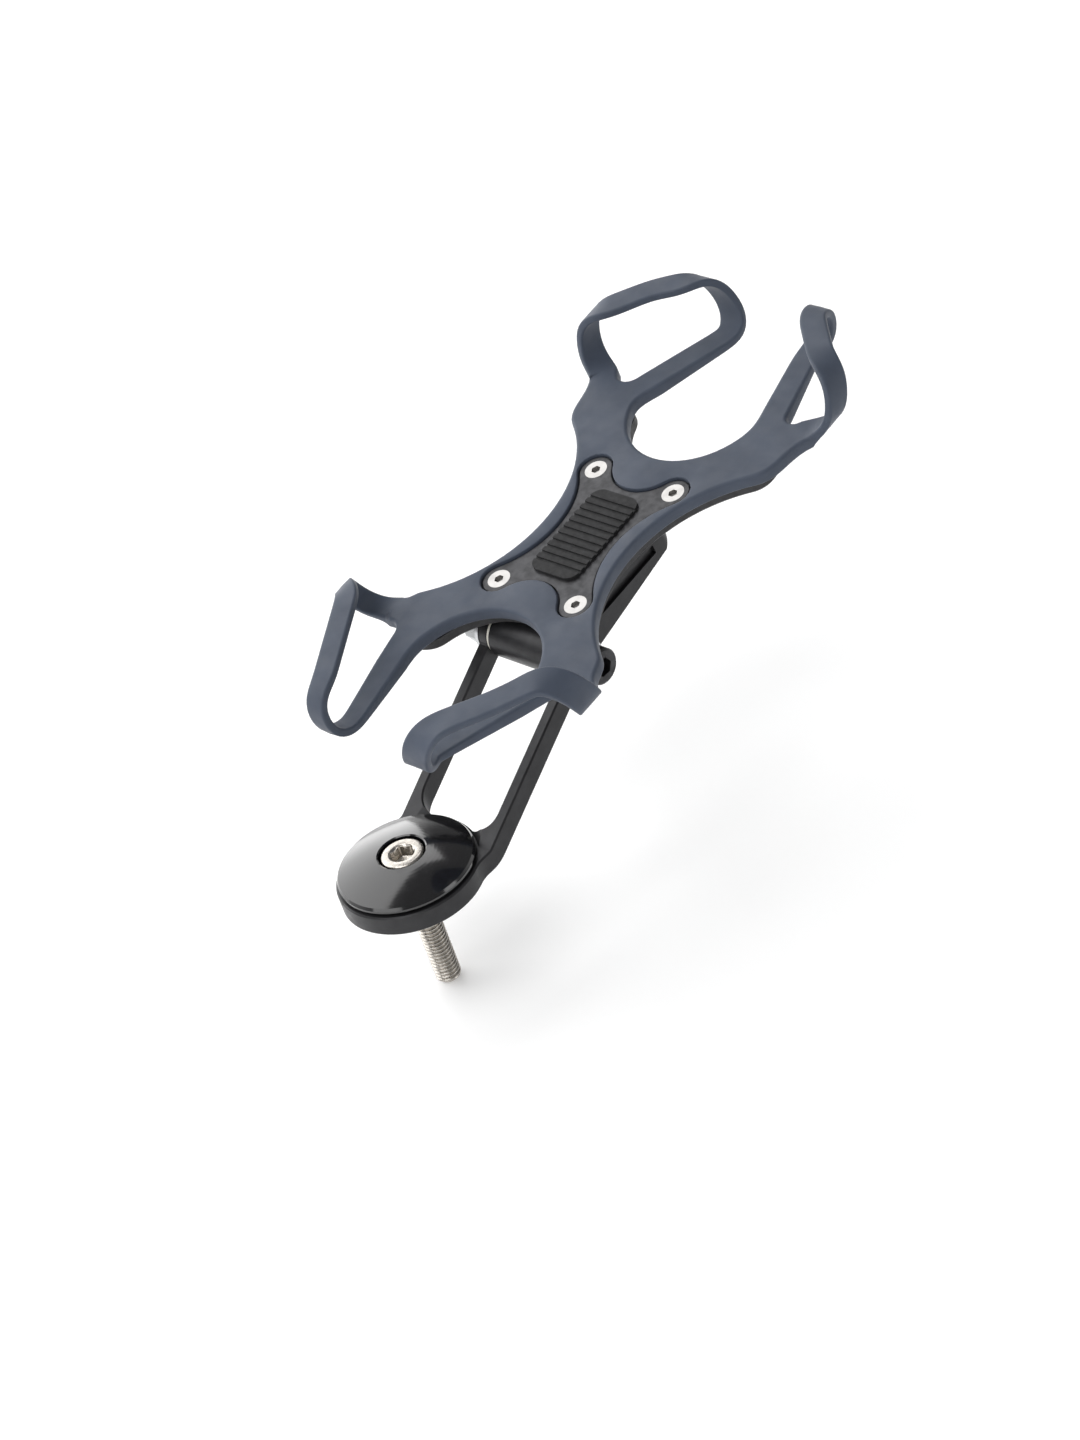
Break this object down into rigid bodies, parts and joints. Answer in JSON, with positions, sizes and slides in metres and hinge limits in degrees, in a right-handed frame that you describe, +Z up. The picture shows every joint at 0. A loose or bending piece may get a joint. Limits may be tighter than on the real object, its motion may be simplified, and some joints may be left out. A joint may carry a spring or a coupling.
{
  "type": "bicycle phone mount",
  "caption": "Phone mount for a bicycle's steerer: a ring under the top cap, two rising arms, a tilting cradle and a silicone web whose corner bands hold the phone.",
  "frame": {"origin": "on the steerer's axis, at the underside of the ring, where the cap bolt's thread begins", "axes": "+Z up the steerer's axis, +Y forward along the stem, +X to the rider's right"},
  "size_m": [0.0774, 0.1635, 0.094],
  "materials": {
    "anodised_bracket": "satin black anodised",
    "cap_black": "gloss black",
    "stainless": "turned stainless",
    "black_steel": "black oxide",
    "nylon_white": "natural nylon",
    "bronze": "turned",
    "block_black": "satin black anodised",
    "plate_black": "glass-filled nylon, fine texture",
    "silicone_slate": "matte silicone",
    "pad_rubber": "matte rubber",
    "zinc_steel": "zinc plated"
  },
  "bodies": {
    "bracket": {"fork_bracket": "anodised_bracket", "top_cap": "cap_black", "top_cap_bolt": "stainless", "pivot_bolt": "black_steel", "pivot_nut": "zinc_steel", "pivot_washer_left": "zinc_steel", "pivot_washer_right": "zinc_steel", "friction_washer_left": "nylon_white", "friction_washer_right": "nylon_white"},
    "cradle": {"pivot_sleeve": "bronze", "hinge_block": "block_black", "block_screws": "zinc_steel", "cradle_plate": "plate_black", "retainer_nuts": "zinc_steel", "web_hub": "silicone_slate", "retainer_plate": "black_steel", "retainer_screws": "stainless", "grip_pad": "pad_rubber"},
    "band_top_left": {"band_top_left": "silicone_slate"},
    "band_top_right": {"band_top_right": "silicone_slate"},
    "band_bottom_left": {"band_bottom_left": "silicone_slate"},
    "band_bottom_right": {"band_bottom_right": "silicone_slate"}
  },
  "joints": [
    {"name": "cradle_tilt", "type": "hinge", "parent": "bracket", "child": "cradle", "pos_m": [0, 0.0536, 0.02803], "axis": [1, 0, 0], "range_deg": [-30, 20]},
    {"name": "stretch_top_left", "type": "slide", "parent": "cradle", "child": "band_top_left", "axis": [-0.669, 0.7351, 0.1099], "range_m": [0, 0.018], "stiffness_N_per_m": 400},
    {"name": "stretch_top_right", "type": "slide", "parent": "cradle", "child": "band_top_right", "axis": [0.6927, 0.7133, 0.1066], "range_m": [0, 0.018], "stiffness_N_per_m": 400},
    {"name": "stretch_bottom_left", "type": "slide", "parent": "cradle", "child": "band_bottom_left", "axis": [-0.8555, -0.5121, -0.0765], "range_m": [0, 0.018], "stiffness_N_per_m": 400},
    {"name": "stretch_bottom_right", "type": "slide", "parent": "cradle", "child": "band_bottom_right", "axis": [0.7979, -0.5962, -0.0891], "range_m": [0, 0.018], "stiffness_N_per_m": 400}
  ]
}
